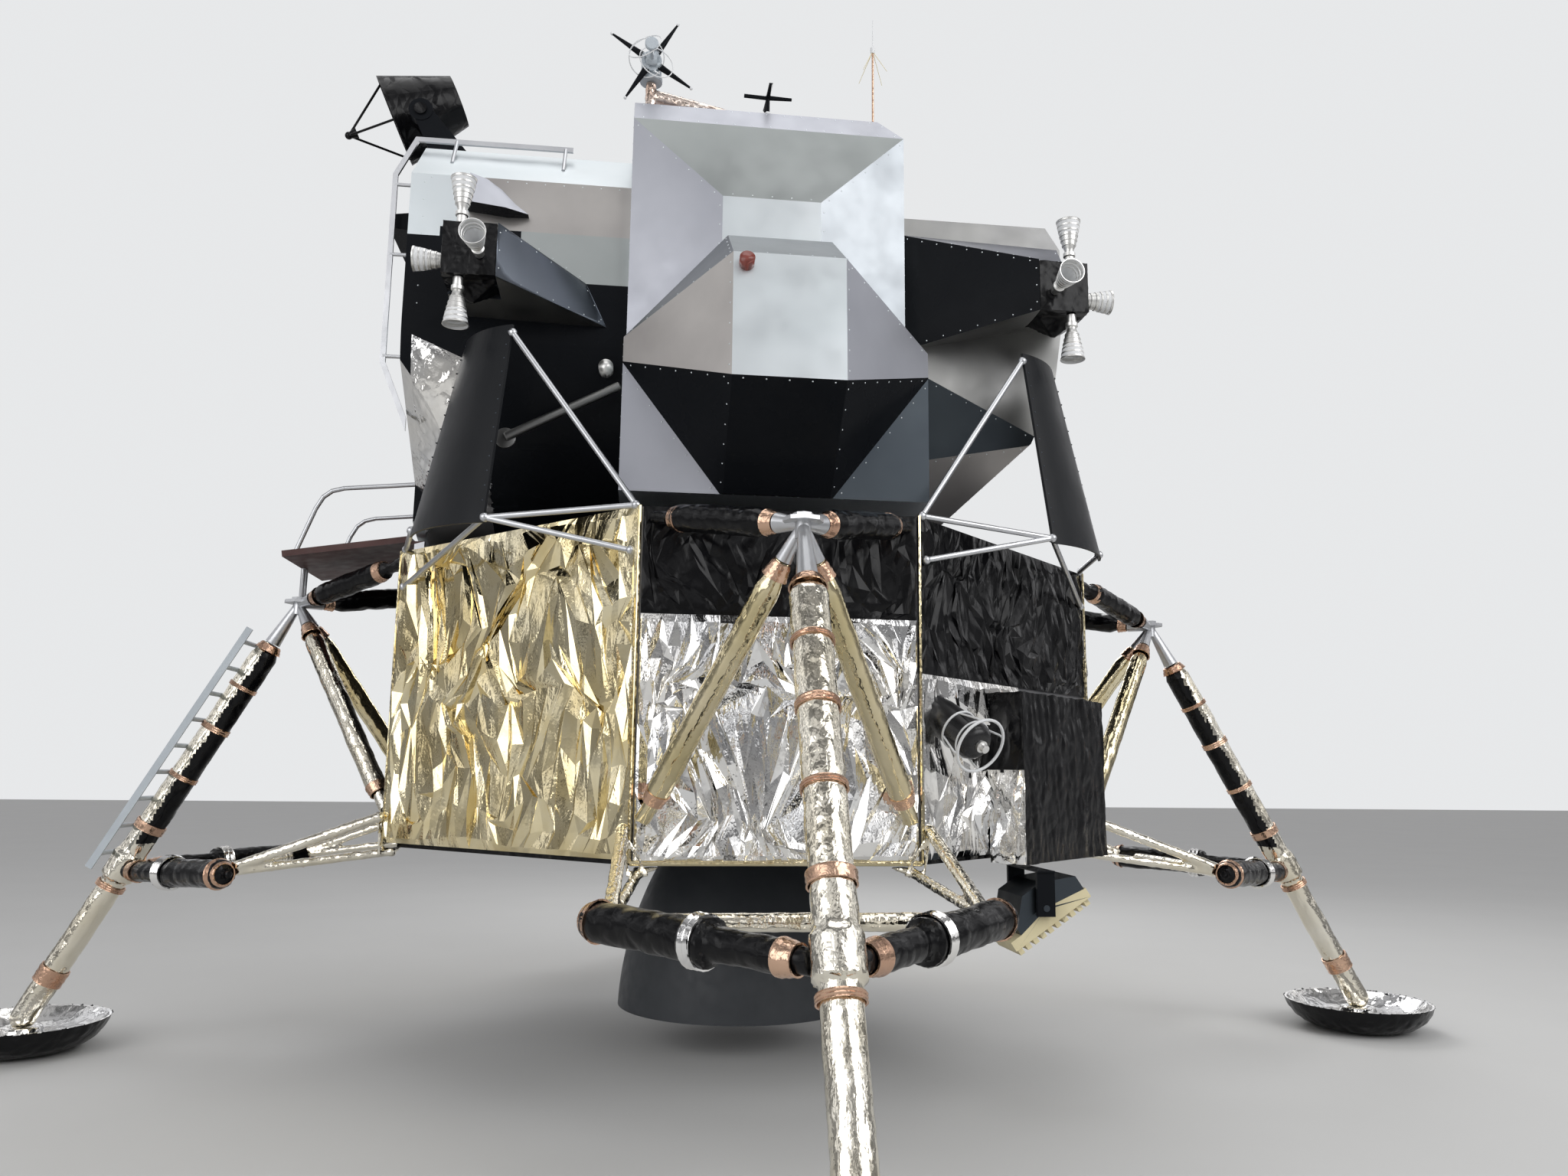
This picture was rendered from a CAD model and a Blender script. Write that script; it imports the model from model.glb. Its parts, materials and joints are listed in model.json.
"""Dresses the lunar lander's frame in its foils, panels, rivets, struts and aerials."""

import json
import logging
import math
from collections.abc import Callable, Iterator, Sequence
from contextlib import contextmanager
from dataclasses import dataclass
from enum import Enum
from typing import NamedTuple

import bpy
from mathutils import Matrix, Vector

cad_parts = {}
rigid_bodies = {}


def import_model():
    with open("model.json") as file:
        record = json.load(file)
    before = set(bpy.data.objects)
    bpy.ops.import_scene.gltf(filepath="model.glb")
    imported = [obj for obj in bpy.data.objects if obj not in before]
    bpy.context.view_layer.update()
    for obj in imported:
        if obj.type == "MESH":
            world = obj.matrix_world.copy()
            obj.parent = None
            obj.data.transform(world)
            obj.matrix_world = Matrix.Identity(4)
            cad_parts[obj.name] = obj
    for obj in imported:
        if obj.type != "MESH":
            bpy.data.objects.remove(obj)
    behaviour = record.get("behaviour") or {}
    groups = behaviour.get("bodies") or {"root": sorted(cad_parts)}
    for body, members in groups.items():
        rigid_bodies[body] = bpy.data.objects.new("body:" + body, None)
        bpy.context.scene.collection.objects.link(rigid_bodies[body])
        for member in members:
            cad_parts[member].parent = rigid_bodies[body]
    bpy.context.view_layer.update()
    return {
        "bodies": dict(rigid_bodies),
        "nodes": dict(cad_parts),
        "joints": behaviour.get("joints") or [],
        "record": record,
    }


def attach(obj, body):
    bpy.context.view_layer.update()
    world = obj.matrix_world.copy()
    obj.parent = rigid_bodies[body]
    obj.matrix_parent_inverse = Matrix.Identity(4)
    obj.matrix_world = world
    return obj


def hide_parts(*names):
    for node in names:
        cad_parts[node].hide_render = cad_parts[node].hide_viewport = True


LOG = logging.getLogger("lander")
Thing = bpy.types.Object
Socket = bpy.types.NodeSocket
Point = tuple[float, float, float]
Profile = tuple[tuple[float, float], ...]
Pairs = tuple[tuple[Point, Point], ...]
Rule = Callable[[Vector, Vector], int]
ORIGIN = (0.0, 0.0, 0.0)
UP = (0.0, 0.0, 1.0)
MERGE = 0.00005
MIRROR_X = Matrix.Scale(-1, 4, (1, 0, 0))
MIRROR_Y = Matrix.Scale(-1, 4, (0, 1, 0))
QUARTERS = [Matrix.Rotation(math.radians(turn), 4, "Z") for turn in (0, 90, 180, 270)]
FRAME: dict = {}


# Small modelling tools


def only(obj: Thing) -> None:
    """Select one object alone and make it active."""
    bpy.ops.object.select_all(action="DESELECT")
    obj.select_set(True)
    bpy.context.view_layer.objects.active = obj


@contextmanager
def editing(obj: Thing) -> Iterator[None]:
    """Edit mode on one object, with all of its mesh selected."""
    only(obj)
    bpy.ops.object.mode_set(mode="EDIT")
    bpy.ops.mesh.select_all(action="SELECT")
    yield
    bpy.ops.object.mode_set(mode="OBJECT")


def linked(name: str, data: bpy.types.ID | None, place: Matrix | None = None) -> Thing:
    """A new object in the scene, at a place where one is given."""
    obj = bpy.data.objects.new(name, data)
    bpy.context.scene.collection.objects.link(obj)
    if place is not None:
        obj.matrix_world = place
    return obj


def apply_modifiers(obj: Thing) -> None:
    """Apply every modifier on an object, first to last."""
    only(obj)
    for modifier in list(obj.modifiers):
        bpy.ops.object.modifier_apply(modifier=modifier.name)


def settle(obj: Thing, place: Matrix | None = None) -> Thing:
    """Carry an object to its place and leave its origin at the frame's origin."""
    if place is not None:
        obj.matrix_world = place @ obj.matrix_world
    only(obj)
    bpy.ops.object.transform_apply(location=True, rotation=True, scale=True)
    return obj


def joined(pieces: Sequence[Thing], name: str) -> Thing:
    """Several objects made one.

    Args:
        pieces: The objects to join, each with its own mesh.
        name: The joined piece's name.

    Returns:
        The joined piece.
    """
    only(pieces[0])
    for piece in pieces[1:]:
        piece.select_set(True)
    if len(pieces) > 1:
        bpy.ops.object.join()
    whole = bpy.context.view_layer.objects.active
    whole.name = name
    whole.data.name = name
    return settle(whole)


def outward(obj: Thing) -> None:
    """Merge doubled points and turn every face outwards."""
    with editing(obj):
        bpy.ops.mesh.remove_doubles(threshold=MERGE)
        bpy.ops.mesh.normals_make_consistent(inside=False)


def mirrored(obj: Thing, mirror: Matrix) -> Thing:
    """A copy with its own mesh on the other side of the frame."""
    twin = settle(linked(obj.name, obj.data.copy(), mirror @ obj.matrix_world))
    outward(twin)
    return twin


def scattered(pattern: Thing, places: Sequence[Matrix], name: str) -> Thing:
    """Copies of one small piece at many places, joined; the pattern itself goes.

    Args:
        pattern: The small piece, at the frame's origin.
        places: Where each copy stands.
        name: The joined piece's name.

    Returns:
        The joined piece.
    """
    twins = [linked(name, pattern.data.copy(), place) for place in places]
    bpy.data.objects.remove(pattern, do_unlink=True)
    return joined(twins, name)


def smooth(obj: Thing, degrees: float) -> Thing:
    """Smooth shading with edges kept sharper than an angle."""
    only(obj)
    bpy.ops.object.shade_smooth_by_angle(angle=math.radians(degrees))
    return obj


def cad_copy(node: str, name: str) -> Thing:
    """A copy of a CAD node's mesh with merged points, ready to be shaped."""
    twin = linked(name, FRAME["nodes"][node].data.copy())
    twin.data.materials.clear()
    with editing(twin):
        bpy.ops.mesh.remove_doubles(threshold=MERGE)
    return twin


def cut(obj: Thing, planes: Pairs, **options: bool) -> None:
    """Cut a mesh along planes, each a point and a normal, with the cutting tool's own options."""
    for at, way in planes:
        with editing(obj):
            bpy.ops.mesh.bisect(plane_co=at, plane_no=way, **options)


def aimed(at: Point, way: Point) -> Matrix:
    """The place at a point whose +Z goes a given way."""
    return Matrix.Translation(at) @ Vector(way).to_track_quat("Z", "Y").to_matrix().to_4x4()


def axis_place(start: Point, end: Point) -> Matrix:
    """The place whose +Z runs from one point to another, with its origin at the first."""
    return aimed(start, Vector(end) - Vector(start))


def spun(profile: Sequence[tuple[float, float]], name: str, steps: int = 32) -> Thing:
    """A round piece on +Z turned from a profile of radius and height.

    Args:
        profile: Radius and height of each point, from one end to the other.
        name: The piece's name.
        steps: How many faces go round.

    Returns:
        The turned piece.
    """
    mesh = bpy.data.meshes.new(name)
    mesh.from_pydata([(r, 0, z) for r, z in profile], [(i, i + 1) for i in range(len(profile) - 1)], [])
    obj = linked(name, mesh)
    with editing(obj):
        bpy.ops.mesh.spin(steps=steps, angle=math.tau, center=ORIGIN, axis=UP)
        bpy.ops.mesh.select_all(action="SELECT")
        bpy.ops.mesh.remove_doubles(threshold=2 * MERGE)
        bpy.ops.mesh.normals_make_consistent(inside=False)
    return smooth(obj, 40)


def bar(start: Point, end: Point, radius: float, name: str, end_radius: float | None = None,
        sides: int = 16) -> Thing:
    """A round bar from one point to another with rounded ends."""
    length = (Vector(end) - Vector(start)).length
    tip = radius if end_radius is None else end_radius
    lead = min(radius, tip) * 0.25
    profile = [(0, 0), (radius - lead, 0), (radius, lead), (tip, length - lead), (tip - lead, length),
               (0, length)]
    return settle(spun(profile, name, sides), axis_place(start, end))


def pipe(points: Sequence[Point], radius: float, name: str, closed: bool = False, sides: int = 3) -> Thing:
    """A bent tube or wire through points, turned into a mesh.

    Args:
        points: The points that the tube follows.
        radius: The tube's radius.
        name: The piece's name.
        closed: Whether the tube returns to its start.
        sides: The curve's bevel resolution.

    Returns:
        The tube's mesh object.
    """
    curve = bpy.data.curves.new(name, "CURVE")
    curve.dimensions = "3D"
    curve.bevel_depth = radius
    curve.bevel_resolution = sides
    curve.use_fill_caps = not closed
    spline = curve.splines.new("POLY")
    spline.points.add(len(points) - 1)
    for at, point in zip(spline.points, points):
        at.co = (*point, 1)
    spline.use_cyclic_u = closed
    only(linked(name, curve))
    bpy.ops.object.convert(target="MESH")
    tube = bpy.context.view_layer.objects.active
    outward(tube)
    return smooth(tube, 50)


def circle(center: Point, radius: float, normal: Point = UP, count: int = 40) -> list[Point]:
    """Points round a circle with a given middle and normal."""
    place = aimed(center, normal)
    turns = [math.tau * i / count for i in range(count)]
    return [tuple(place @ Vector((radius * math.cos(a), radius * math.sin(a), 0))) for a in turns]


def drawn_out(outline: Sequence[Point], ways: Sequence[Point], name: str) -> Thing:
    """A flat outline drawn out into a closed solid.

    Args:
        outline: The corners of the first side, in order.
        ways: How far each corner moves to reach the second side.
        name: The piece's name.

    Returns:
        The closed solid.
    """
    count = len(outline)
    mesh = bpy.data.meshes.new(name)
    mesh.from_pydata(outline, [], [range(count)])
    obj = linked(name, mesh)
    with editing(obj):
        bpy.ops.mesh.extrude_region_move()
    for i, way in enumerate(ways):
        mesh.vertices[count + i].co += Vector(way)
    outward(obj)
    return obj


# Creased covers


@dataclass(frozen=True)
class Creases:
    """A crumple that moves a fine mesh in and out by cells with sharp borders.

    The fields are the cells' size, the depth, how far the cells are drawn out along each axis, the axes' turn,
    the start within the pattern, and whether it is a soft cloud instead of cells.
    """

    cell: float
    depth: float
    stretch: Point = (1.0, 1.0, 1.0)
    turn: Point = ORIGIN
    seed: float = 0.0
    soft: bool = False
    level: float = 0.45
    axis: str = "NORMAL"

    def press(self, obj: Thing, group: str = "") -> None:
        """Displace an object's mesh with this crumple, within a vertex group where one is named."""
        texture = bpy.data.textures.new("crease", "CLOUDS" if self.soft else "VORONOI")
        texture.noise_scale = 1.0
        if self.soft:
            texture.noise_depth = 2
        else:
            texture.weight_1, texture.weight_2 = -1.0, 1.0
            texture.noise_intensity = 1.0
        axes = linked("crease_axes", None)
        axes.location = (self.seed, self.seed * 1.7, self.seed * 0.6)
        axes.rotation_euler = [math.radians(a) for a in self.turn]
        axes.scale = [self.cell * s for s in self.stretch]
        bpy.context.view_layer.update()
        modifier = obj.modifiers.new("crease", "DISPLACE")
        modifier.texture = texture
        modifier.texture_coords = "OBJECT"
        modifier.texture_coords_object = axes
        modifier.strength = self.depth
        modifier.mid_level = self.level
        modifier.direction = self.axis
        if group:
            modifier.vertex_group = group
        apply_modifiers(obj)
        bpy.data.objects.remove(axes, do_unlink=True)


def crumpled(obj: Thing, voxel: float, layers: Sequence[Creases], sharp: float) -> Thing:
    """Remesh a closed piece finely and press creases into it.

    Args:
        obj: The closed piece.
        voxel: The size of the new mesh's faces.
        layers: The creases, first to last.
        sharp: The angle under which two faces shade as one.

    Returns:
        The same object.
    """
    remesh = obj.modifiers.new("fine", "REMESH")
    remesh.mode = "VOXEL"
    remesh.voxel_size = voxel
    apply_modifiers(obj)
    for layer in layers:
        layer.press(obj)
    return smooth(obj, sharp)


class SheetPlace(NamedTuple):
    """One foil sheet on a face of the descent stage: its coat, the face's turn and its limits."""

    coat: "Coat"
    turn: float
    reach: float
    left: float
    right: float
    low: float
    high: float


@dataclass(frozen=True)
class Crush:
    """Crushed film: long flat facets between sharp folds that swirl over the sheet.

    The fields are a facet's width and length, the folds' depth, how far they swirl aside, how rough each
    finer cut is, and the angle under which two facets shade as one.
    """

    wide: float
    tall: float
    depth: float
    swirl: float
    levels: tuple[float, ...]
    crease_angle: float = 6.0
    rim: float = 0.28
    slow: float = 0.55

    def stirred(self, obj: Thing, place: SheetPlace, seed: int) -> None:
        """Carry the sheet's inner points aside in slow swirls, the rim staying where it is."""
        group = obj.vertex_groups.new(name="inner")
        for vertex in obj.data.vertices:
            _, y, z = vertex.co
            inside = min(y - place.left, place.right - y, z - place.low, place.high - z) / self.rim
            group.add([vertex.index], min(1.0, max(0.0, inside)), "REPLACE")
        for axis, at in (("Y", 3.1), ("Z", 8.4)):
            drift = Creases(self.slow, self.swirl, seed=at + seed * 0.73, soft=True, level=0.5, axis=axis)
            drift.press(obj, "inner")

    def sheet(self, place: SheetPlace, seed: int) -> Thing:
        """A crushed sheet that faces +X, closed behind.

        Args:
            place: The sheet's limits.
            seed: The number that moves its folds.

        Returns:
            The closed sheet.
        """
        reach, wide, tall = place.reach, place.right - place.left, place.high - place.low
        middle = (reach + self.depth * 1.3, (place.left + place.right) / 2, (place.low + place.high) / 2)
        bpy.ops.object.select_all(action="DESELECT")
        bpy.ops.mesh.primitive_grid_add(x_subdivisions=max(2, round(tall / self.tall)),
                                        y_subdivisions=max(2, round(wide / self.wide)), size=1,
                                        location=middle, rotation=(0, math.pi / 2, 0))
        obj = bpy.context.view_layer.objects.active
        obj.scale = (tall, wide, 1)
        settle(obj)
        jitter = self.wide * 0.48
        with editing(obj):
            bpy.ops.mesh.select_mode(type="EDGE")
            bpy.ops.mesh.region_to_loop()
            bpy.ops.mesh.select_mode(type="VERT")
            bpy.ops.mesh.select_all(action="INVERT")
            bpy.ops.transform.vertex_random(offset=jitter, uniform=1.0, normal=0.0, seed=seed)
            bpy.ops.transform.resize(value=(self.depth / jitter, 1, 1), center_override=middle)
        self.stirred(obj, place, seed)
        with editing(obj):
            bpy.ops.mesh.quads_convert_to_tris(quad_method="LONGEST_DIAGONAL")
            for step, rough in enumerate(self.levels):
                bpy.ops.mesh.select_all(action="SELECT")
                bpy.ops.mesh.subdivide(number_cuts=1, fractal=rough, fractal_along_normal=0.9,
                                       seed=seed + step)
        for vertex in obj.data.vertices:
            vertex.co.x = max(vertex.co.x, reach + 0.004)
        with editing(obj):
            bpy.ops.mesh.select_mode(type="EDGE")
            bpy.ops.mesh.region_to_loop()
            bpy.ops.transform.resize(value=(0.4, 1, 1), center_override=(reach + 0.012, 0, 0))
            bpy.ops.mesh.extrude_edges_move()
            bpy.ops.transform.resize(value=(0, 1, 1), center_override=(reach + 0.001, 0, 0))
            bpy.ops.mesh.edge_face_add()
        outward(obj)
        return smooth(obj, self.crease_angle)


# Finishes


class NodeSheet:
    """The node tree of a material or a world, and short calls for the nodes it is made of."""

    def __init__(self, owner: bpy.types.ID, shader: str = "ShaderNodeBsdfPrincipled",
                 output: str = "ShaderNodeOutputMaterial", place: str = "Object") -> None:
        """Start the tree with one shader, its output and the coordinates."""
        owner.use_nodes = True
        self.tree = owner.node_tree
        self.tree.nodes.clear()
        self.shader = self.tree.nodes.new(shader)
        self.add(output, {"Surface": self.shader.outputs[0]}, None)
        self.place = self.add("ShaderNodeTexCoord", {}, place)

    def plug(self, node: bpy.types.Node, sockets: dict) -> None:
        """Link each socket of a node that comes from another node, and set the rest."""
        for key, value in sockets.items():
            if isinstance(value, Socket):
                self.tree.links.new(value, node.inputs[key])
            else:
                node.inputs[key].default_value = value

    def add(self, kind: str, sockets: dict, out: int | str | None = 0, **settings: object) -> Socket | None:
        """Add a node.

        Args:
            kind: The node's type.
            sockets: What goes into each socket: a number, a colour or another node's output.
            out: The output to give back, if any.
            **settings: The node's own settings.

        Returns:
            The output.
        """
        node = self.tree.nodes.new(kind)
        for key, value in settings.items():
            setattr(node, key, value)
        self.plug(node, sockets)
        return None if out is None else node.outputs[out]

    def set(self, **values: object) -> None:
        """Set or link the shader's own sockets; an underscore stands for a space."""
        self.plug(self.shader, {key.replace("_", " "): value for key, value in values.items()})

    def mapped(self, scale: Point, turn: Point = ORIGIN) -> Socket:
        """Object coordinates scaled and turned."""
        turned = [math.radians(a) for a in turn]
        return self.add("ShaderNodeMapping", {"Scale": scale, "Rotation": turned, "Vector": self.place})

    def noise(self, scale: float, detail: float = 3, vector: Socket | None = None, kind: str = "FBM",
              distortion: float = 0) -> Socket:
        """Noise value at a scale."""
        sockets = {"Scale": scale, "Detail": detail, "Distortion": distortion, "Vector": vector or self.place}
        return self.add("ShaderNodeTexNoise", sockets, "Fac", noise_type=kind)

    def cells(self, scale: float, vector: Socket) -> Socket:
        """The distance to the nearest border of Voronoi cells."""
        sockets = {"Vector": vector, "Scale": scale}
        return self.add("ShaderNodeTexVoronoi", sockets, "Distance", feature="DISTANCE_TO_EDGE")

    def spread(self, value: Socket, low: float, high: float, least: float = 0, most: float = 1) -> Socket:
        """Carry a value from one range to another."""
        sockets = {"Value": value, "From Min": low, "From Max": high, "To Min": least, "To Max": most}
        return self.add("ShaderNodeMapRange", sockets, "Result")

    def blended(self, factor: Socket, first: object, second: object) -> Socket:
        """Two colours blended by a value."""
        return self.add("ShaderNodeMix", {0: factor, 6: first, 7: second}, 2, data_type="RGBA")

    def gloss(self, scale: float, detail: float, low: float, high: float) -> None:
        """Let the shader's roughness wander between two values."""
        self.set(Roughness=self.spread(self.noise(scale, detail), 0.3, 0.7, low, high))

    def bump(self, *layers: tuple[Socket, float, float]) -> None:
        """Bump layers on the shader's normal, each a height, a strength and a distance."""
        normal = {}
        for height, strength, distance in layers:
            sockets = {"Strength": strength, "Distance": distance, "Height": height, **normal}
            normal = {"Normal": self.add("ShaderNodeBump", sockets, "Normal")}
        self.set(**normal)


@dataclass(frozen=True)
class Finish:
    """A finish of two colours that makes its material once."""

    name: str
    colour: Point
    second: Point

    def material(self) -> bpy.types.Material:
        """The finish's material, made at its first use."""
        found = bpy.data.materials.get(self.name)
        if found is None:
            found = bpy.data.materials.new(self.name)
            self.fill(NodeSheet(found))
        return found

    def tint(self, sheet: NodeSheet, factor: Socket) -> None:
        """Colour a sheet by a value between the finish's two colours."""
        sheet.set(Base_Color=sheet.blended(factor, (*self.colour, 1), (*self.second, 1)))

    def fill(self, sheet: NodeSheet) -> None:
        """Build the material's nodes."""
        raise NotImplementedError


@dataclass(frozen=True)
class Film(Finish):
    """Crumpled metal film: mirror bright with creases of two sizes."""

    roughness: float = 0.16
    cell: float = 16.0
    stretch: Point = (1.0, 1.0, 0.45)
    depth: float = 0.012

    def fill(self, sheet: NodeSheet) -> None:
        """Bright film with creases of two sizes."""
        wide, fine = sheet.mapped(self.stretch, (12, 8, 20)), sheet.mapped((1.0, 1.0, 0.7), (-20, 31, 5))
        sheet.set(Metallic=1.0)
        self.tint(sheet, sheet.spread(sheet.noise(3.1, 4), 0.35, 0.65))
        sheet.gloss(9, 3, self.roughness * 0.7, self.roughness * 1.4)
        sheet.bump((sheet.cells(self.cell, wide), 0.75, self.depth),
                   (sheet.cells(self.cell * 2.7, fine), 0.55, self.depth * 0.4))


@dataclass(frozen=True)
class Blanket(Finish):
    """Black coated film with soft wrinkles and a satin sheen."""

    roughness: float = 0.22
    wrinkle: float = 6.0
    depth: float = 0.03
    tall: float = 0.7

    def fill(self, sheet: NodeSheet) -> None:
        """Black satin film with soft wrinkles."""
        sheet.set(IOR=1.31)
        self.tint(sheet, sheet.noise(6, 4))
        sheet.gloss(12, 3, self.roughness * 0.8, self.roughness * 1.25)
        wide = sheet.mapped((1.0, 1.0, self.tall), (7, 11, 24))
        sheet.bump((sheet.noise(self.wrinkle, 1.5, wide, "RIDGED_MULTIFRACTAL", 0.8), 0.6, self.depth),
                   (sheet.cells(self.wrinkle * 2.3, wide), 0.5, self.depth * 0.3))


@dataclass(frozen=True)
class Panel(Finish):
    """Satin sheet, metal or painted, with a faint grain and slightly uneven surface."""

    roughness: float = 0.34
    metallic: float = 1.0
    grain: Point = (2.0, 2.0, 90.0)
    wave: float = 0.004
    index: float = 1.45

    def fill(self, sheet: NodeSheet) -> None:
        """Satin sheet with a faint grain."""
        sheet.set(Metallic=self.metallic, IOR=self.index)
        self.tint(sheet, sheet.spread(sheet.noise(1.7, 4), 0.3, 0.7))
        sheet.gloss(5, 5, self.roughness * 0.85, self.roughness * 1.2)
        grain = sheet.noise(1.0, 4, sheet.mapped(self.grain))
        sheet.bump((sheet.noise(1.3, 2), 0.25, self.wave * 4), (grain, 0.12, self.wave * 0.2))


@dataclass(frozen=True)
class Paint(Finish):
    """Plain paint or moulded plastic with fine pits."""

    roughness: float = 0.45
    metallic: float = 0.0
    pits: float = 160.0

    def fill(self, sheet: NodeSheet) -> None:
        """Plain coat with fine pits and light soiling."""
        sheet.set(Metallic=self.metallic)
        self.tint(sheet, sheet.spread(sheet.noise(4, 5), 0.3, 0.75))
        sheet.gloss(14, 4, self.roughness * 0.85, self.roughness * 1.2)
        sheet.bump((sheet.noise(self.pits, 2), 0.1, 0.0006))


@dataclass(frozen=True)
class Pane(Finish):
    """Dark window glass with a faint film on it."""

    def fill(self, sheet: NodeSheet) -> None:
        """Dark glossy glass."""
        sheet.set(IOR=1.5, Alpha=1.0)
        self.tint(sheet, sheet.noise(3, 3))
        sheet.gloss(7, 4, 0.03, 0.09)


class Coat(Enum):
    """The finishes of the lander's pieces."""

    GOLD = Film("gold_film", (0.8, 0.66, 0.36), (0.88, 0.79, 0.55), 0.1, 24.0, (1, 1, 0.4), 0.0022)
    SILVER = Film("silver_film", (0.84, 0.84, 0.84), (0.92, 0.9, 0.86), 0.08, 26.0, (1, 1, 0.5), 0.0022)
    WRAP = Film("wrapped_film", (0.8, 0.74, 0.6), (0.87, 0.83, 0.73), 0.11, 20.0, (1, 1, 0.4), 0.005)
    GOLD_WRAP = Film("gold_wrapped_film", (0.62, 0.53, 0.31), (0.76, 0.67, 0.46), 0.09, 12.0, (1, 1, 0.14),
                     0.007)
    COPPER = Film("copper_tape", (0.58, 0.36, 0.25), (0.74, 0.5, 0.36), 0.22, 34.0, (1, 1, 1.0), 0.004)
    BLACK = Blanket("black_blanket", (0.002, 0.002, 0.0025), (0.005, 0.005, 0.006))
    CASK = Paint("black_cask", (0.006, 0.006, 0.007), (0.01, 0.01, 0.011), 0.28)
    BOOM = Film("boom_film", (0.82, 0.8, 0.77), (0.78, 0.52, 0.38), 0.12, 30.0, (1, 1, 1.0), 0.003)
    SATIN = Panel("satin_sheet", (0.64, 0.69, 0.71), (0.71, 0.75, 0.77), 0.36)
    MID = Panel("mid_sheet", (0.37, 0.38, 0.42), (0.44, 0.45, 0.49), 0.38)
    PLAIN = Panel("plain_sheet", (0.36, 0.385, 0.38), (0.42, 0.445, 0.44), 0.36)
    DIM = Panel("dim_sheet", (0.27, 0.29, 0.31), (0.33, 0.35, 0.37), 0.38)
    STEEL = Panel("steel_sheet", (0.055, 0.065, 0.078), (0.075, 0.088, 0.1), 0.36)
    KEEL = Panel("grey_sheet", (0.21, 0.21, 0.21), (0.28, 0.28, 0.27), 0.4)
    WARM = Panel("warm_sheet", (0.37, 0.35, 0.34), (0.5, 0.48, 0.46), 0.4)
    BLUED = Panel("blued_sheet", (0.11, 0.125, 0.15), (0.14, 0.155, 0.18), 0.32)
    SLATE = Panel("slate_sheet", (0.009, 0.01, 0.012), (0.013, 0.014, 0.016), 0.36, 0.0, index=1.25)
    NIGHT = Panel("black_sheet", (0.006, 0.007, 0.009), (0.01, 0.011, 0.013), 0.26, 0.0, index=1.14)
    TUBE = Paint("bare_tube", (0.55, 0.56, 0.58), (0.66, 0.67, 0.69), 0.34, 1.0, 60.0)
    TURNED = Paint("turned_metal", (0.78, 0.78, 0.76), (0.86, 0.85, 0.83), 0.36, 1.0, 90.0)
    WHITE = Paint("white_coat", (0.78, 0.79, 0.8), (0.7, 0.71, 0.72))
    GREY = Paint("pale_grey_coat", (0.5, 0.55, 0.59), (0.42, 0.46, 0.5), 0.35)
    CREAM = Paint("cream_plate", (0.74, 0.66, 0.42), (0.62, 0.54, 0.33))
    BOARD = Paint("dark_red_board", (0.07, 0.018, 0.014), (0.04, 0.012, 0.01), 0.5)
    CONE = Paint("dark_cone", (0.03, 0.034, 0.04), (0.045, 0.05, 0.056), 0.5)
    LENS = Paint("red_lens", (0.045, 0.009, 0.008), (0.07, 0.015, 0.012), 0.2)
    GLASS = Pane("window_glass", (0.01, 0.012, 0.015), (0.02, 0.022, 0.025))
    CORE = Panel("core_sheet", (0.22, 0.22, 0.23), (0.3, 0.3, 0.31), 0.45)

    def material(self) -> bpy.types.Material:
        """The coat's material."""
        return self.value.material()


def dressed(obj: Thing, coats: Sequence[Coat], rule: Rule | None = None) -> Thing:
    """Give an object its coats.

    Args:
        obj: The object to dress.
        coats: Its coats, in slot order.
        rule: The slot for a face's middle and normal, or None for the first slot.

    Returns:
        The same object.
    """
    obj.data.materials.clear()
    for coat in coats:
        obj.data.materials.append(coat.material())
    if rule is not None:
        for face in obj.data.polygons:
            face.material_index = rule(face.center, face.normal)
    return obj


def mounted(obj: Thing, *coats: Coat, rule: Rule | None = None, body: str = "vehicle",
            replaced: Sequence[str] = (), slot: str = "") -> None:
    """Dress a finished piece and ride it on its body.

    Args:
        obj: The finished piece, at its place.
        *coats: Its coats, or none where it has them already.
        rule: The coat for a face's middle and normal.
        body: The CAD body that it moves with.
        replaced: The CAD nodes that it stands for.
        slot: The record's material slot, where it has one.
    """
    if coats:
        dressed(obj, coats, rule)
    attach(obj, body)
    if replaced:
        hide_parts(*replaced)
    LOG.info("%s: %d faces on %s", obj.name, len(obj.data.polygons), body)


# The studio


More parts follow.
